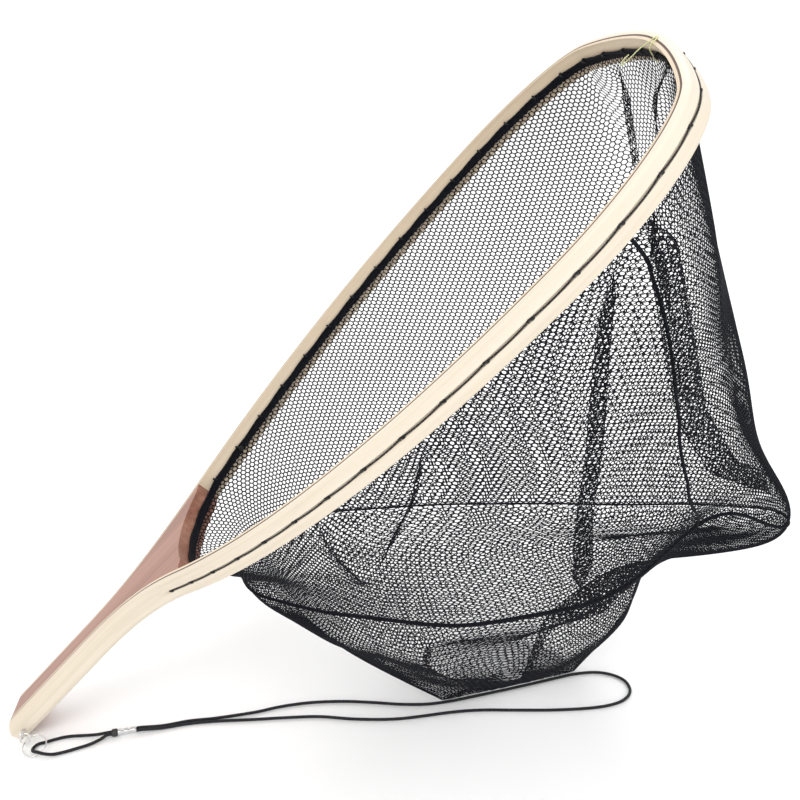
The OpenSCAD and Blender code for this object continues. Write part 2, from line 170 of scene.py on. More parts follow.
def loft(name, rings, closed_run=False, caps=True, sharp=0.6, flow=None):
    """A solid through rings of points, an array (rings, sides, 3)."""
    n, m = rings.shape[:2]
    i, j = np.meshgrid(np.arange(n if closed_run else n - 1), np.arange(m), indexing="ij")
    a, b = i * m + j, i * m + (j + 1) % m
    c, d = (i + 1) % n * m + j, (i + 1) % n * m + (j + 1) % m
    faces = np.stack([a, b, d, c], -1).reshape(-1, 4).tolist()
    if caps and not closed_run:
        faces += [list(range(m))[::-1], [(n - 1) * m + k for k in range(m)]]
    obj = new_mesh(name, rings.reshape(-1, 3), faces, True, sharp)
    if flow is not None:
        layer = obj.data.attributes.new("flow", "FLOAT_VECTOR", "POINT")
        layer.data.foreach_set("vector", np.asarray(flow, np.float32).ravel())
    return obj


def tube_rings(path, radius, sides=12, closed=False):
    p = np.array(path, float)
    if closed:
        tan = np.roll(p, -1, 0) - np.roll(p, 1, 0)
    else:
        tan = np.gradient(p, axis=0)
    tan /= np.linalg.norm(tan, axis=1)[:, None]
    # a frame carried along the path, so that the tube doesn't twist
    side = np.cross(tan[0], [0, 0, 1.0] if abs(tan[0][2]) < 0.9 else [1.0, 0, 0])
    rings = []
    for k in range(len(p)):
        side = side - tan[k] * np.dot(side, tan[k])
        side /= np.linalg.norm(side)
        up = np.cross(side, tan[k])
        ang = np.arange(sides) * 2 * math.pi / sides
        r = radius[k] if np.ndim(radius) else radius
        rings.append(p[k] + r * (np.cos(ang)[:, None] * side + np.sin(ang)[:, None] * up))
    return np.array(rings)


def tube(name, path, radius, sides=12, closed=False):
    rings = tube_rings(path, radius, sides, closed)
    p = np.array(path, float)
    run = np.concatenate([[0], np.cumsum(np.linalg.norm(np.diff(p, axis=0), axis=1))])
    ang = np.arange(sides) / sides
    flow = np.stack(np.broadcast_arrays(run[:, None], ang[None, :] * 0.01, 0.0), -1)
    return loft(name, rings, closed, True, None, flow)


def joined(name, objs):
    """One object out of several that have no material yet."""
    bpy.ops.object.select_all(action="DESELECT")
    for o in objs:
        o.select_set(True)
    bpy.context.view_layer.objects.active = objs[0]
    bpy.ops.object.join()
    objs[0].name = name
    return objs[0]


# ---------------------------------------------------------------- materials


class Nodes:
    def __init__(self, name):
        self.mat = bpy.data.materials.new(name)
        self.mat.use_nodes = True
        self.tree = self.mat.node_tree
        self.tree.nodes.clear()
        self.out = self.tree.nodes.new("ShaderNodeOutputMaterial")
        self.bsdf = self.add("ShaderNodeBsdfPrincipled")
        self.link(self.bsdf.outputs[0], self.out.inputs[0])

    def add(self, kind, **values):
        node = self.tree.nodes.new(kind)
        for key, value in values.items():
            if key in node.inputs:
                node.inputs[key].default_value = value
            else:
                setattr(node, key, value)
        return node

    def link(self, a, b):
        self.tree.links.new(a, b)

    def put(self, **values):
        for key, value in values.items():
            self.bsdf.inputs[key.replace("_", " ")].default_value = value

    def ramp(self, source, stops):
        node = self.add("ShaderNodeValToRGB")
        band = node.color_ramp
        while len(band.elements) < len(stops):
            band.elements.new(0.5)
        for e, (pos, colour) in zip(band.elements, stops):
            e.position = pos
            e.color = (*colour, 1)
        self.link(source, node.inputs[0])
        return node.outputs[0]

    def bump(self, height, strength, distance):
        node = self.add("ShaderNodeBump", Strength=strength, Distance=distance)
        self.link(height, node.inputs["Height"])
        self.link(node.outputs[0], self.bsdf.inputs["Normal"])


def grain_vector(m, along):
    """Coordinates that run along the wood: the sweep's own, or the leaning frame's."""
    if along == "flow":
        return m.add("ShaderNodeAttribute", attribute_name="flow").outputs["Vector"]
    tex = m.add("ShaderNodeTexCoord").outputs["Object"]
    parts = []
    for axis in ((math.cos(LEAN), 0, math.sin(LEAN)), (0, 1, 0), (-math.sin(LEAN), 0, math.cos(LEAN))):
        dot = m.add("ShaderNodeVectorMath", operation="DOT_PRODUCT")
        m.link(tex, dot.inputs[0])
        dot.inputs[1].default_value = axis
        parts.append(dot.outputs["Value"])
    both = m.add("ShaderNodeCombineXYZ")
    for k, part in enumerate(parts):
        m.link(part, both.inputs[k])
    return both.outputs[0]


def wood(name, dark, mid, light, along="flow", shine=0.3):
    m = Nodes(name)
    vec = grain_vector(m, along)
    stretch = m.add("ShaderNodeMapping")
    stretch.inputs["Scale"].default_value = (5, 260, 260)
    m.link(vec, stretch.inputs[0])
    fine = m.add("ShaderNodeTexNoise", Scale=1.0, Detail=5.0, Roughness=0.6)
    m.link(stretch.outputs[0], fine.inputs["Vector"])
    broad_map = m.add("ShaderNodeMapping")
    broad_map.inputs["Scale"].default_value = (3, 45, 45)
    m.link(vec, broad_map.inputs[0])
    broad = m.add("ShaderNodeTexNoise", Scale=1.0, Detail=3.0, Roughness=0.5)
    m.link(broad_map.outputs[0], broad.inputs["Vector"])
    both = m.add("ShaderNodeMix", data_type="FLOAT")
    both.inputs[0].default_value = 0.5
    m.link(fine.outputs[0], both.inputs[2])
    m.link(broad.outputs[0], both.inputs[3])
    colour = m.ramp(both.outputs[0], [(0.36, dark), (0.5, mid), (0.64, light)])
    m.link(colour, m.bsdf.inputs["Base Color"])
    rough = m.add("ShaderNodeMapRange")
    rough.inputs["To Min"].default_value = 0.32
    rough.inputs["To Max"].default_value = 0.46
    m.link(fine.outputs[0], rough.inputs[0])
    m.link(rough.outputs[0], m.bsdf.inputs["Roughness"])
    m.put(Specular_IOR_Level=shine, Coat_Weight=0.2 * shine, Coat_Roughness=0.25)
    m.bump(fine.outputs[0], 0.12, 0.0002)
    return m.mat


pale_wood = wood("pale_wood", (0.62, 0.525, 0.40), (0.72, 0.635, 0.51), (0.78, 0.70, 0.585))
inner_wood = wood("inner_wood", (0.62, 0.49, 0.34), (0.72, 0.59, 0.43), (0.79, 0.67, 0.52))
veneer_wood = wood(
    "veneer_wood", (0.07, 0.042, 0.030), (0.11, 0.070, 0.052), (0.16, 0.105, 0.082), "flow", 0.05
)
core_wood = wood("core_wood", (0.24, 0.10, 0.065), (0.33, 0.155, 0.105), (0.42, 0.22, 0.155), "object", 0.2)


def cord_material(name, base, light, scale=900.0, rough=0.75, shine=0.3):
    m = Nodes(name)
    tex = m.add("ShaderNodeTexCoord").outputs["Object"]
    cells = m.add("ShaderNodeTexVoronoi", Scale=scale)
    m.link(tex, cells.inputs["Vector"])
    colour = m.ramp(cells.outputs["Distance"], [(0.1, light), (0.6, base)])
    m.link(colour, m.bsdf.inputs["Base Color"])
    m.put(Roughness=rough, Specular_IOR_Level=shine)
    m.bump(cells.outputs["Distance"], 0.5, 0.0003)
    return m.mat


net_black = cord_material("net_black", (0.006, 0.0065, 0.010), (0.012, 0.013, 0.020), 1500.0, 0.75, 0.15)
hem_black = cord_material("hem_black", (0.004, 0.0045, 0.007), (0.010, 0.011, 0.016), 700.0, 0.8, 0.12)
lace_black = cord_material("lace_black", (0.008, 0.008, 0.009), (0.035, 0.035, 0.038), 800.0, 0.65)
elastic_black = cord_material("elastic_black", (0.006, 0.006, 0.008), (0.025, 0.026, 0.032), 1100.0, 0.6)
thread_pale = cord_material("thread_pale", (0.62, 0.64, 0.30), (0.80, 0.80, 0.48), 1400.0, 0.6)


def metal(name, colour, rough):
    m = Nodes(name)
    tex = m.add("ShaderNodeTexCoord").outputs["Object"]
    noise = m.add("ShaderNodeTexNoise", Scale=400.0, Detail=4.0)
    m.link(tex, noise.inputs["Vector"])
    tone = m.ramp(noise.outputs[0], [(0.3, tuple(0.86 * c for c in colour)), (0.7, colour)])
    m.link(tone, m.bsdf.inputs["Base Color"])
    spread = m.add("ShaderNodeMapRange")
    spread.inputs["To Min"].default_value = rough * 0.8
    spread.inputs["To Max"].default_value = rough * 1.3
    m.link(noise.outputs[0], spread.inputs[0])
    m.link(spread.outputs[0], m.bsdf.inputs["Roughness"])
    m.put(Metallic=1.0)
    return m.mat


steel = metal("steel", (0.80, 0.79, 0.77), 0.22)
crimped = metal("crimped", (0.66, 0.66, 0.66), 0.34)


def rubber():
    m = Nodes("rubber")
    tex = m.add("ShaderNodeTexCoord").outputs["Object"]
    noise = m.add("ShaderNodeTexNoise", Scale=900.0, Detail=3.0)
    m.link(tex, noise.inputs["Vector"])
    colour = m.ramp(noise.outputs[0], [(0.3, (0.012, 0.012, 0.013)), (0.7, (0.03, 0.03, 0.032))])
    m.link(colour, m.bsdf.inputs["Base Color"])
    m.put(Roughness=0.55)
    m.bump(noise.outputs[0], 0.2, 0.0002)
    return m.mat


black_rubber = rubber()


def paint(obj, mat):
    obj.data.materials.clear()
    obj.data.materials.append(mat)


# ---------------------------------------------------------------- wooden strips
# denser rows round the butt, where the section is a half round
butt_s = HALF * (1 - np.cos(np.radians(np.linspace(6, 90, 16))))
rows = np.concatenate([butt_s, np.linspace(HALF, WHOLE - HALF, 620)[1:-1], WHOLE - butt_s[::-1]])
row_u = on_outline(rows)[:, 0]
butt_scale = np.where(row_u < HALF, np.sqrt(np.clip(HALF**2 - (HALF - row_u) ** 2, 0, None)) / HALF, 1.0)
edge_r = 4.2 + (1.8 - 4.2) * np.clip((row_u - 110) / 100, 0, 1)
fade = np.clip((np.minimum(rows, WHOLE - rows) - LACE_FIRST + 14) / 10, 0, 1)
fade = fade * fade * (3 - 2 * fade)


def top_at(d, r):
    return np.where(d >= r, HALF, HALF - r + np.sqrt(np.clip(r**2 - (r - d) ** 2, 0, None)))


def strip(name, d1, d2, grooved, mat):
    if d1 == 0:
        steps = d2 * np.array([0, 0.004, 0.02, 0.06, 0.13, 0.25, 0.42, 0.65, 1.0])
    else:
        steps = np.linspace(d1, d2, 3)
    profile = [(d, +1, None) for d in steps] + [(d, -1, None) for d in steps[::-1]]
    if grooved:
        ang = np.radians(np.linspace(0, 180, 9))
        profile += [(0.95 * math.sin(a), 0, -1.0 * math.cos(a)) for a in ang]
    rings, flow = [], []
    for d, sign, height in profile:
        if sign:
            dd = np.full(len(rows), d)
            n = sign * top_at(dd, edge_r)
        else:
            dd = d * fade
            n = np.full(len(rows), height)
        p = on_outline(rows, dd)
        rings.append(placed(p[:, 0], p[:, 1], n * butt_scale))
        flow.append(np.stack([rows / 1000, dd / 1000 + d1 * 0.01, n / 1000], -1))
    obj = loft(name, np.stack(rings, 1), False, True, 0.55, np.stack(flow, 1))
    paint(obj, mat)
    return obj


outer_wood = strip("outer_strip", 0, 3.5, True, pale_wood)
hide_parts("outer_strip_hoop")
veneer_strip = strip("veneer_strip", 3.5, 4.6, False, veneer_wood)
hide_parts("veneer_hoop")
inner_strip = strip("inner_strip", 4.6, 6.2, False, inner_wood)
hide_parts("inner_strip_hoop")
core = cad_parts["handle_core"]
paint(core, core_wood)
for piece in (outer_wood, veneer_strip, inner_strip):
    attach(piece, "net")

# ---------------------------------------------------------------- the mouth and the hem
THROAT_R, THROAT_C = 90.0, 274.8


def mouth(d, count=1440):
    """The inside of the hoop from the middle of the throat, moved inward by d."""
    ang = np.radians(np.linspace(0, 35.3, 60))
    arc = np.stack([THROAT_C - (THROAT_R - d) * np.cos(ang), (THROAT_R - d) * np.sin(ang)], -1)
    s = np.linspace(WHOLE / 2, WHOLE - 180, 700)
    rail = on_outline(s, np.full(700, RIM + d))
    rail = rail[rail[:, 0] > arc[-1, 0] + 1.5][::-1]
    far = np.vstack([arc, rail])
    whole = np.vstack([far, (far * [1, -1])[-2:0:-1]])
    return resample(whole, count, True)[0]


def ring_band(name, parts, count=1440):
    """A closed band round the mouth; parts is a list of (inset, height) arrays round its section."""
    rings = []
    for d, n in parts:
        p = mouth(0.0, count)
        q = np.roll(p, -1, 0) - np.roll(p, 1, 0)
        q /= np.linalg.norm(q, axis=1)[:, None]
        inward = np.stack([-q[:, 1], q[:, 0]], -1)
        centre = np.array([400.0, 0.0])
        inward *= np.sign(np.sum(inward * (centre - p), axis=1))[:, None]
        r = p + inward * np.broadcast_to(d, len(p))[:, None]
        rings.append(placed(r[:, 0], r[:, 1], n))
    return loft(name, np.stack(rings, 1), True, False, 1.2)


mouth_now = mouth(0.0)
mouth_run = np.concatenate([[0], np.cumsum(np.linalg.norm(np.diff(mouth_now, axis=0), axis=1))])
# a narrow rolled edge, drawn up a little at each stitch, with a fine sawtooth of mesh below it
stitch = np.cos(2 * math.pi * (mouth_run / mouth_run[-1]) * round(mouth_run[-1] / PITCH * 1.02))
teeth = np.abs((mouth_run / 3.7) % 1.0 - 0.5) * 2
lift = 0.25 * stitch
ang = np.linspace(0, 2 * math.pi, 14, endpoint=False)
roll = [(1.2 + 0.8 * math.cos(a), 0.5 + lift + (0.7 + 0.12 * teeth) * math.sin(a)) for a in ang]
hem_roll = ring_band("hem_roll", roll)
skirt_foot = -3.2 - 0.8 * teeth
skirt = [(0.35, 0.3 + lift), (1.4, 0.3 + lift), (1.5, -1.4), (1.3, skirt_foot), (0.4, skirt_foot)]
hem_skirt = ring_band("hem_skirt", skirt)
hem = joined("hem", [hem_roll, hem_skirt])
paint(hem, hem_black)
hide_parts("net_hem")
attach(hem, "net")

# ---------------------------------------------------------------- the bag's skin
COLUMNS = 720
rim_line = mouth(1.0, COLUMNS)
turn = 2 * math.pi * np.arange(COLUMNS) / COLUMNS


def level(back, front, near, far, z_back, z_mid, z_front, shift, pinch):
    """A loop of the bag: its two ends, half widths on each side, three heights, skew and narrowing."""
    f = (1 - np.cos(turn)) / 2
    y = np.sin(turn) * (1 - pinch * f * f)
    z = z_back * (1 - f) * (1 - 2 * f) + 4 * z_mid * f * (1 - f) + z_front * f * (2 * f - 1)
    across = np.where(y < 0, near * y, far * y) + shift * f
    return np.stack([back + (front - back) * f - X_MID, across, z], -1) / 1000


rim_loop = placed(rim_line[:, 0], rim_line[:, 1], -3.2)
seam_loop = level(150, 491, 64, 78, 128, 112, 138, 0, 0.45)
waist_loop = (rim_loop + seam_loop) / 2
waist_loop[:, 1] += 0.005 * np.sin(turn)
levels = np.array(
    [
        rim_loop,
        waist_loop,
        seam_loop,
        level(172, 415, 54, 70, 94, 80, 113, 4, 0.4),
        level(208, 400, 34, 58, 50, 40, 62, 12, 0.2),
        level(275, 371, 1, 44, 0.9, 0.9, 0.9, 22, 0),
    ]
)


def skin(rows_v):
    """The bag's surface at heights v, from 0 at the rim and 2 at the seam to 5 at the foot."""
    out = []
    q = np.concatenate([levels[:1], levels, levels[-1:]])
    for v in rows_v:
        k = min(int(v), 4)
        a, b, c, d = q[k : k + 4]
        out.append(between(a, b, c, d, v - k))
    return np.array(out)


# Where the slack mesh sags or is drawn up: turn in degrees, height v, reach in degrees and in v, and the
# shift along, across and up in millimetres.
PULLS = [
    (184, 1.5, 28, 0.27, (-12, 0, 0)),
    (230, 2.0, 20, 0.45, (0, 8, 32)),
    (230, 2.9, 20, 0.5, (-10, 4, 18)),
    (215, 1.0, 22, 0.3, (0, 14, 0)),
    (145, 1.0, 22, 0.3, (0, -12, 0)),
    (335, 2.2, 22, 0.6, (-4, 0, -12)),
    (320, 3.9, 30, 0.6, (0, 3, 9)),
]
# Folds of the slack mesh.  Each is a line of (turn in degrees, height v) down the bag, its half width in
# degrees, how far it stands out in millimetres, and how far the mesh doubles back in half widths.
FOLDS = [
    ([(237, 0.1), (244, 0.5), (250, 0.9), (256, 1.3), (262, 1.9)], 3.6, -5, 3.2),
    ([(229, 0.05), (229, 0.6), (228, 1.0), (224, 1.35), (212, 1.6), (200, 1.8)], 4.6, 7, 3.5),
    ([(304, 0.3), (302, 0.8), (299, 1.3)], 2.6, 4, 2.2),
    ([(277, 0.2), (283, 0.55), (290, 0.8), (297, 1.1)], 2.6, -4, 2.2),
    ([(161, 0.0), (155, 0.3), (150, 0.6), (146, 1.2)], 4.0, 5, 3.0),
    ([(190, 0.0), (176, 0.2), (166, 0.45)], 3.0, -4, 2.6),
    ([(246, 2.3), (250, 3.2), (262, 4.2)], 5.0, 5, 1.8),
    ([(290, 2.3), (286, 3.1), (280, 4.0)], 5.0, 4, 1.8),
]
WALL_ROWS = 110
V_ALL = np.concatenate([np.linspace(0, 2, WALL_ROWS), np.linspace(2, 5, 100)[1:]])


def skin_normals(g):
    da = np.roll(g, -1, 1) - np.roll(g, 1, 1)
    dr = np.gradient(g, axis=0)
    n = np.cross(dr, da)
    return n / np.maximum(np.linalg.norm(n, axis=2, keepdims=True), 1e-12)


def rumpled(grid):
    """The skin with its folds and slow waves; the rim and the foot stay where they are."""
    deg = np.degrees(turn)
    out_way = skin_normals(grid)
    out_way *= np.sign(np.sum(out_way * (grid - np.array([0.08, 0.0, 0.15])), axis=2).mean())
    along = np.roll(grid, -1, 1) - np.roll(grid, 1, 1)
    per_degree = np.linalg.norm(along, axis=2, keepdims=True) / (2 * 360 / COLUMNS)
    along /= np.linalg.norm(along, axis=2, keepdims=True)
    made = grid.copy()
    for at, v, wide, tall, shift in PULLS:
        near_turn = np.exp(-((((deg - at + 180) % 360 - 180) / wide) ** 2))
        near_v = np.exp(-(((V_ALL - v) / tall) ** 2)) * np.clip((5 - V_ALL) / 0.5, 0, 1)
        made += near_v[:, None, None] * near_turn[None, :, None] * np.array(shift) / 1000
    for line, width, depth, doubled in FOLDS:
        at, v = np.array(line, float).T
        x = (deg[None] - np.interp(V_ALL, v, at)[:, None] + 180) % 360 - 180
        x = (x / width)[..., None]
        ends = np.clip((V_ALL - v[0]) / 0.25, 0, 1) * np.clip((v[-1] - V_ALL) / 0.3, 0, 1)
        ends = (ends * ends * (3 - 2 * ends))[:, None, None]
        made += out_way * depth / 1000 * np.exp(-((x - 0.35) ** 2)) * ends
        gathered = along * per_degree * width * doubled * x / (1 + x**2) ** 1.5
        made -= gathered * np.exp(-((x / 5) ** 2)) * ends
    calm = (np.clip(V_ALL / 0.5, 0, 1) * np.clip((4.6 - V_ALL) / 0.8, 0, 1))[:, None, None]
    long_wave = np.sin(math.pi / 180 * (7 * deg[None] + 95 * V_ALL[:, None]))
    short_wave = np.sin(math.pi / 180 * (12 * deg[None] - 60 * V_ALL[:, None] + 40))
    wave = long_wave + 0.7 * short_wave
    return made + out_way * wave[..., None] * 0.0011 * calm


whole_skin = rumpled(skin(V_ALL))
wall_skin, bottom_skin = whole_skin[:WALL_ROWS], whole_skin[WALL_ROWS - 1 :]
foot = bottom_skin[-1]
foot_mid = foot.mean(0)
inner_foot = np.array([foot_mid + (foot - foot_mid) * k for k in np.linspace(1, 0.02, 24)[1:]])
bottom_skin = np.concatenate([bottom_skin, inner_foot])

# ---------------------------------------------------------------- net of hexagonal meshes
CELL = 2.9
SIX = np.array([(1, 1), (0, 2), (-1, 1), (-1, -1), (0, -2), (1, -1)])


def sample(skin_grid, a, r):
    """Skin at turn a in [0, 1) and fractional row r, both arrays."""
    n, m = skin_grid.shape[:2]
    x = a * m
    i0 = np.floor(x).astype(int)
    fx = (x - i0)[:, None]
    r = np.clip(r, 0, n - 1 - 1e-6)
    j0 = np.floor(r).astype(int)
    fy = (r - j0)[:, None]
    left, right = i0 % m, (i0 + 1) % m
    above = skin_grid[j0, left] * (1 - fx) + skin_grid[j0, right] * fx
    below = skin_grid[j0 + 1, left] * (1 - fx) + skin_grid[j0 + 1, right] * fx
    return above * (1 - fy) + below * fy


def wall_net(grid):
    """The mesh's places on the wall, how to find them on the skin, and how many half meshes go round."""
    n, m = grid.shape[:2]
    normals = skin_normals(grid)
    step = np.linalg.norm(np.diff(grid, axis=0), axis=2)
    from_seam = np.concatenate([np.cumsum(step[::-1], axis=0)[::-1], np.zeros((1, m))])
    longest = from_seam[0].max() * 1000
    around = int(round(np.linalg.norm(np.diff(seam_loop, axis=0), axis=1).sum() * 1000 * 1.04 / CELL))
    up = int(longest / (CELL * math.sqrt(3) / 2)) + 2
    k, r = np.meshgrid(np.arange(around), np.arange(up), indexing="ij")
    cells = np.stack([2 * k + (r & 1), 3 * r], -1).reshape(-1, 2)

    def where(keys):
        a = (keys[:, 0] / (2 * around)) % 1.0
        dist = keys[:, 1] * (CELL / math.sqrt(3) / 2) / 1000
        x = a * m
        i0 = np.floor(x).astype(int)
        fx = x - i0
        row = np.empty(len(keys))
        for side in range(m):
            pick = i0 % m == side
            if not pick.any():
                continue
            part = fx[pick].mean()
            col = from_seam[:, side] * (1 - part) + from_seam[:, (side + 1) % m] * part
            row[pick] = np.interp(dist[pick], col[::-1], np.arange(n)[::-1])
            row[np.flatnonzero(pick)[dist[pick] > col[0] + 0.002]] = -5
        keep = row > -1
        pos = sample(grid, a, row)
        nor = sample(normals, a, row)
        return pos, nor / np.linalg.norm(nor, axis=1, keepdims=True), keep

    return cells, where, 2 * around


def lattice(names, corners, where, parts=1, wide=0.86, thick=0.5):
    """corners: integer places (cells, 6, 2) of each mesh's corners."""
    keys, index = np.unique(corners.reshape(-1, 2), axis=0, return_inverse=True)
    index = index.reshape(-1, 6)
    pos, nor, keep = where(keys)
    index = index[keep[index].all(1)]
    mid = pos[index].mean(1)
    order = np.argsort(np.arctan2(mid[:, 1] - 0.0, mid[:, 0] - 0.08), kind="stable")
    index, mid = index[order], mid[order]
    size = np.linalg.norm(pos[index] - mid[:, None], axis=2).mean(1)
    shrink = np.clip(1 - wide / 1000 / math.sqrt(3) / np.maximum(size, 1e-5), 0.3, 0.9)
    made = []
    for name, chunk in zip(names, np.array_split(np.arange(len(index)), parts)):
        used, local = np.unique(index[chunk], return_inverse=True)
        local = local.reshape(-1, 6)
        nu, nc = len(used), len(chunk)
        centre = mid[chunk][:, None]
        holes = centre + (pos[index[chunk]] - centre) * shrink[chunk][:, None, None]
        half = nor[used] * thick / 2000
        verts = np.concatenate([pos[used] + half, pos[used] - half, holes.reshape(-1, 3)])
        a, b = local, np.roll(local, -1, 1)
        ha = 2 * nu + np.arange(nc)[:, None] * 6 + np.arange(6)[None]
        hb = 2 * nu + np.arange(nc)[:, None] * 6 + (np.arange(6)[None] + 1) % 6
        upper = np.stack([a, b, hb, ha], -1).reshape(-1, 4)
        lower = np.stack([b + nu, a + nu, ha, hb], -1).reshape(-1, 4)
        quads = [upper, lower]
        ends = np.stack([a, b], -1).reshape(-1, 2)
        code = np.sort(ends, 1) @ np.array([nu, 1])
        _, first, count = np.unique(code, return_index=True, return_counts=True)
        rim = ends[first[count == 1]]
        quads.append(np.stack([rim[:, 1], rim[:, 0], rim[:, 0] + nu, rim[:, 1] + nu], -1))
        obj = big_mesh(name, verts, np.concatenate(quads))
        paint(obj, net_black)
        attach(obj, "net")
        made.append(obj)
    return made


cells, where, period = wall_net(wall_skin)
corners = cells[:, None, :] + SIX[None]
corners[..., 0] %= period
wall_parts = lattice(
    ["wall_a", "wall_b", "wall_c", "wall_d"], corners, where, 4
)
for piece in wall_parts:
    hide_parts("net_wall")

# The bottom is cut flat, as four sixths of a disc drawn up into a cone.  Places are on a plane, and the
# turn and reach of each find its place on the skin.  The mesh repeats every sixth, so it meets itself.
SHARE = 4 / 6


def flat_angle(x, y):
    return (np.arctan2(y, x) + math.pi / 3) % (2 * math.pi) - math.pi / 3


bottom_normals = skin_normals(bottom_skin)
bottom_step = np.linalg.norm(np.diff(bottom_skin, axis=0), axis=2)
bottom_run = np.concatenate([np.zeros((1, COLUMNS)), np.cumsum(bottom_step, axis=0)])
reach = bottom_run[-1] * 1000
span = int(reach.max() / CELL * 2.4) + 4
k, r = np.meshgrid(np.arange(-span, span), np.arange(-span, span), indexing="ij")
bottom_cells = np.stack([2 * k + (r & 1), 3 * r], -1).reshape(-1, 2)


def bottom_where(keys):
    x = keys[:, 0] * CELL / 2
    y = keys[:, 1] * CELL / math.sqrt(3) / 2
    a = (flat_angle(x, y) / (2 * math.pi * SHARE)) % 1.0
    rad = np.hypot(x, y)
    col = a * COLUMNS
    i0 = np.floor(col).astype(int) % COLUMNS
    full = reach[i0]
    keep = rad < full
    back = np.clip(full - rad, 0, None) / 1000
    row = np.empty(len(keys))
    for side in range(COLUMNS):
        pick = i0 == side
        if pick.any():
            row[pick] = np.interp(back[pick], bottom_run[:, side], np.arange(len(bottom_run)))
    pos = sample(bottom_skin, a, row)
    nor = sample(bottom_normals, a, row)
    return pos, nor / np.maximum(np.linalg.norm(nor, axis=1, keepdims=True), 1e-9), keep


mid_x = bottom_cells[:, 0] * CELL / 2
mid_y = bottom_cells[:, 1] * CELL / math.sqrt(3) / 2
mid_angle = flat_angle(mid_x, mid_y)
near = (np.hypot(mid_x, mid_y) < reach.max() + 5) & (np.hypot(mid_x, mid_y) > 1)
near &= (mid_angle > -1e-6) & (mid_angle < 2 * math.pi * SHARE - 1e-6)
corners = bottom_cells[near][:, None, :] + SIX[None]
# only the area of a bottom piece is real, and this nominal width turns it into a rectangle
bottom_parts = lattice(
    ["bottom_a", "bottom_b", "bottom_c"], corners, bottom_where, 3
)
for piece in bottom_parts:
    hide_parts("net_bottom")

seam = tube("bottom_seam_roll", wall_skin[-1], 0.0007 + 0.0006 * np.clip(-np.sin(turn), 0, 1), 10, True)
paint(seam, hem_black)
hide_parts("bottom_seam")
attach(seam, "net")
WALL_SEAM_TURN = 0.652
side_seam = tube("wall_seam_roll", wall_skin[:, int(COLUMNS * WALL_SEAM_TURN)], 0.0009, 8)
paint(side_seam, hem_black)
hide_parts("wall_seam")
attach(side_seam, "net")

# ---------------------------------------------------------------- lacing cord
s_line = np.linspace(hole_at[0], hole_at[-1], 2400)
phase = (s_line - hole_at[0]) / (hole_at[1] - hole_at[0])
dip = np.abs(np.sin(math.pi * phase))
inset = 0.35 + 0.4 * (1 - dip) ** 6
height = -0.45 * dip
p = on_outline(s_line, inset)
lacing = tube("lacing", placed(p[:, 0], p[:, 1], height), 0.00038, 8)
knots = [lacing]
# a stitch from the groove through its hole and round the hem: inset, height and place along the rim
STITCH = [
    (0.5, -0.3, -1.6), (0.05, 0.55, -0.8), (-0.15, 0.2, 0.1), (0.2, -0.6, 0.9), (0.8, -0.2, 1.2),
    (2.5, 0, 0.2), (5.5, 0, 0), (7.6, -0.3, 0), (8.9, 0.3, 0.2), (8.9, 1.4, 0.5), (8.0, 2.1, 0.8),
    (7.0, 1.6, 0.9), (6.8, 0.4, 0.6),
]
for at in hole_at:
    s = np.array([at])
    path = []
    for d, n, ds in STITCH:
        q = on_outline(s + ds, np.array([d]))[0]
        path.append(placed(q[0], q[1], n))
    knots.append(tube("stitch", catmull(path, 4), 0.00055, 8))
lacing = joined("lacing", knots)
paint(lacing, lace_black)
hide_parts("lacing_cord")
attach(lacing, "net")
for name in ("lacing_knot_near", "lacing_knot_far"):
    paint(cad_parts[name], lace_black)

# ---------------------------------------------------------------- fittings of the lanyard
eye_seat = placed(8.6, -15.0, -2.2)
eye_mid = eye_seat - np.array([0, 0.0039, 0])


def turned(points, rx=0, ry=0, rz=0):
    for axis, deg in ((0, rx), (1, ry), (2, rz)):
        a = math.radians(deg)
        m = np.eye(3)
        i, j = [(1, 2), (2, 0), (0, 1)][axis]
        m[i, i] = m[j, j] = math.cos(a)
        m[i, j], m[j, i] = -math.sin(a), math.sin(a)
        points = points @ m.T
    return points


def circle(radius, count=96, start=0.0, stop=360.0):
    a = np.radians(np.linspace(start, stop, count, endpoint=stop - start < 359))
    return np.stack([radius * np.cos(a), radius * np.sin(a), 0 * a], -1)


eye_ring = tube("screw_eye_loop", eye_mid + turned(circle(0.0027), ry=90), 0.0006, 12, True)
neck_path = [eye_seat + np.array([0, y, 0]) for y in (0.0, -0.0004, -0.0012, -0.0018)]
eye_neck = tube("screw_eye_neck", neck_path, np.array([0.0013, 0.0012, 0.00068, 0.0006]), 16)
eye = joined("screw_eye_piece", [eye_ring, eye_neck])
paint(eye, steel)
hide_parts("screw_eye")
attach(eye, "net")

link_way = np.array([0.62, -0.45, -0.64])
link_way /= np.linalg.norm(link_way)
link_turn = math.degrees(math.atan2(0.64, 0.45))
link_path = eye_mid + 0.0032 * link_way + turned(circle(0.0032), rx=link_turn)
link = tube("link_piece", link_path, 0.0005, 12, True)
paint(link, steel)
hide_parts("link_ring")
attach(link, "lanyard")

ring_start = eye_mid + link_way * (0.0064 - 0.0005 - 0.00075 - 0.0005)
# a split ring is a flat coil of a little under two turns
a = np.radians(np.linspace(25, 25 + 690, 260))
coil = np.stack([0.0073 * np.cos(a), 0.0073 * np.sin(a), np.linspace(-0.00036, 0.00036, 260)], -1)
coil = turned(coil + np.array([0.0073, 0, 0]), rx=15.2, ry=6.8, rz=-33.5) + ring_start
ring = tube("split_ring_coil", coil, 0.00039, 10)
paint(ring, steel)
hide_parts("split_ring")
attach(ring, "lanyard")

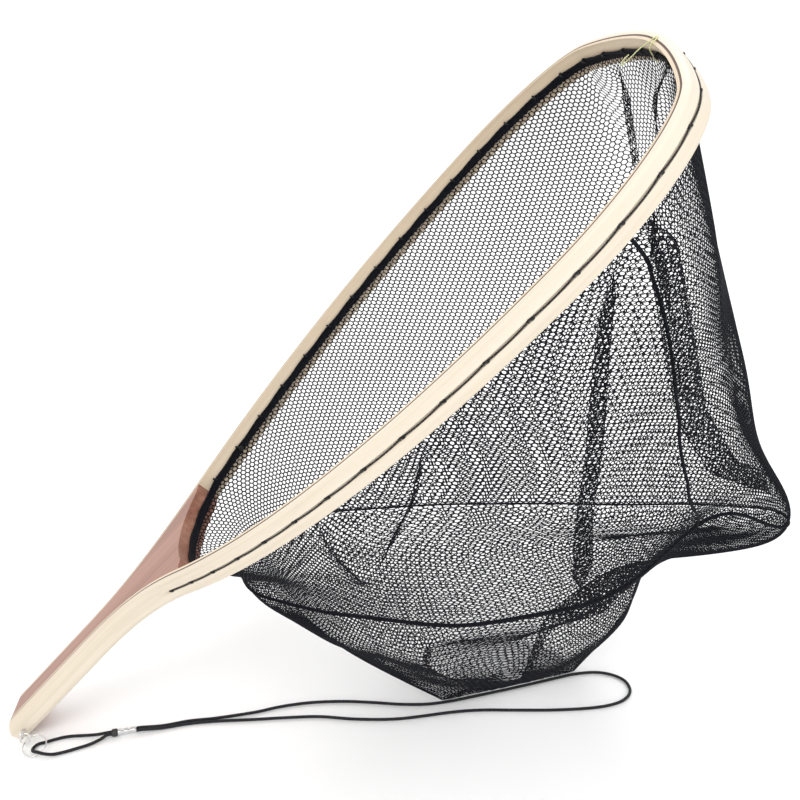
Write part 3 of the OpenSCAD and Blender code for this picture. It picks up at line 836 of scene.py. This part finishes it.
heading = math.radians(8.7)
way = np.array([math.cos(heading), math.sin(heading), 0])
side = np.array([-math.sin(heading), math.cos(heading), 0]) * 1.08
bead_left = np.array([57.9, -17.1, 2.7])
ferrule_left = bead_left + 3.6 * way
ferrule_right = ferrule_left + 12 * way


def lane(points):
    return (np.array(points, float) - [X_MID, 0, 0]) / 1000


def barrel(name, start, steps, mat):
    """A turned piece along the cord; steps are (distance, radius)."""
    line = [start + way * d for d, _ in steps]
    rings = tube_rings(lane(line), np.array([r for _, r in steps]) / 1000, 32)
    obj = loft(name, rings, False, True, 0.9)
    paint(obj, mat)
    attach(obj, "lanyard")
    return obj


BEAD_STEPS = [(0, 1.9), (0.25, 2.35), (0.7, 2.5), (2.9, 2.5), (3.35, 2.35), (3.6, 2.0)]
bead = barrel("bead", bead_left, BEAD_STEPS, black_rubber)
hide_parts("stop_bead")
FERRULE_STEPS = [
    (0, 1.7), (0.2, 2.0), (0.6, 2.1), (3.0, 2.1), (3.5, 1.85), (4.4, 1.75), (5.2, 1.85), (5.7, 2.1),
    (6.9, 2.1), (7.3, 1.85), (8.1, 1.75), (8.8, 1.85), (9.2, 2.1), (11.3, 2.1), (11.8, 2.0), (12, 1.7),
]
ferrule = barrel("ferrule", ferrule_left, FERRULE_STEPS, crimped)
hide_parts("crimp_ferrule")

# ---------------------------------------------------------------- the lanyard's cords
small_route = [
    bead_left + side, bead_left + side - 3 * way, (48, -16.9, 1.9), (40, -16.4, 1.2), (33, -16.3, 1.1),
    (27, -17, 1.1), (21.5, -18.6, 1.1), (16.6, -20.4, 1.1), (12.3, -21.8, 1.1), (10.4, -25, 1.5),
    (11, -28.9, 2.6), (14.9, -31.4, 3.8), (19, -32.4, 3.2), (24, -31.6, 1.6), (30, -29.8, 1.1),
    (36, -27.8, 1.1), (45, -24.6, 1.3), (51, -21.6, 2),
    bead_left - side - 3 * way, bead_left - side,
]
wrist_route = [
    ferrule_right - side, ferrule_right - side + 3 * way,
    (90, -13.4, 1.5), (106, -10.4, 1.1), (124, -9.4, 1.1), (149, -9.6, 1.1), (170, -9.4, 1.1),
    (192, -10, 1.1), (217, -14, 1.1), (245, -15.5, 1.1), (280, -12, 1.1), (300, -11.4, 1.1),
    (323, -13, 1.1), (348, -14.6, 1.1), (372, -14.6, 1.1), (388, -12.6, 1.1), (399, -8, 1.1),
    (405, 0, 1.1), (404, 9.5, 1.1), (397, 16, 1.1), (386, 19.4, 1.1), (371, 18.8, 1.1),
    (356, 15.4, 1.1), (338, 11, 1.1), (319, 6.6, 1.1), (300, 2.4, 1.1), (282, -1.4, 1.1),
    (265, -3.4, 1.1), (247, -2.4, 1.1), (228, 0.6, 1.1), (208, 3, 1.1), (186, 3.4, 1.1),
    (166, 1, 1.1), (149, -3, 1.1), (124, -6.6, 1.1), (106, -8, 1.1), (90, -11.4, 1.5),
    ferrule_right + side + 3 * way, ferrule_right + side,
]


def cord_piece(name, route, node):
    path = catmull(lane(route), 12)
    obj = tube(name, path, 0.001, 12)
    paint(obj, elastic_black)
    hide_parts(node)
    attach(obj, "lanyard")


cord_piece("small_loop", small_route, "lanyard_small_loop")
cord_piece("wrist_loop", wrist_route, "lanyard_wrist_loop")

# ---------------------------------------------------------------- the tag thread
tag_route = [
    (556.6, -7, -3.2), (556.5, -10, 0.4), (556.3, -14, 4.4), (556.6, -17, 7.4), (558.6, -18.4, 8.6),
    (561.6, -17.6, 8.5), (562.6, -15.4, 8.5), (560.4, -13, 8.6), (557, -10.4, 8.6), (553.6, -7, 8.2),
    (550.6, -2.6, 7), (548.2, 2, 5.8), (546.6, 5.4, 5), (545.6, 8.4, 4.6), (547, 9.2, 5.4), (548.8, 6.8, 6.2),
    (550.6, 3.6, 7),
]
tag_path = placed(*catmull(tag_route, 8).T)
tag = tube("tag_thread_piece", tag_path, 0.00032, 8)
paint(tag, thread_pale)
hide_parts("tag_thread")
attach(tag, "net")

# ---------------------------------------------------------------- floor and light
FLOOR = 40
floor_corners = [(-FLOOR, -FLOOR), (FLOOR, -FLOOR), (FLOOR, FLOOR), (-FLOOR, FLOOR)]
ground = new_mesh("floor", [(x, y, -0.0002) for x, y in floor_corners], [(0, 1, 2, 3)], False)
floor_mat = Nodes("floor_white")
floor_mat.put(Base_Color=(0.98, 0.98, 0.98, 1), Roughness=0.8)
paint(ground, floor_mat.mat)

world = bpy.data.worlds.new("world")
bpy.context.scene.world = world
world.use_nodes = True
world.node_tree.nodes["Background"].inputs[0].default_value = (1, 1, 1, 1)
world.node_tree.nodes["Background"].inputs[1].default_value = 1.06


def area_light(name, place, aim, size, power):
    data = bpy.data.lights.new(name, "AREA")
    data.shape = "DISK"
    data.size = size
    data.energy = power
    obj = bpy.data.objects.new(name, data)
    bpy.context.collection.objects.link(obj)
    obj.location = place
    d = np.array(aim, float) - np.array(place, float)
    obj.rotation_euler = (math.acos(-d[2] / np.linalg.norm(d)), 0, math.atan2(d[1], d[0]) - math.pi / 2)


area_light("key", (-0.9, -1.3, 1.9), (0, 0, 0.15), 1.2, 13)
area_light("fill", (1.4, -0.9, 1.3), (0, 0, 0.15), 1.4, 5)
area_light("back", (0.2, 1.6, 1.6), (0, 0, 0.2), 1.4, 7)
bpy.context.scene.view_settings.view_transform = "Standard"
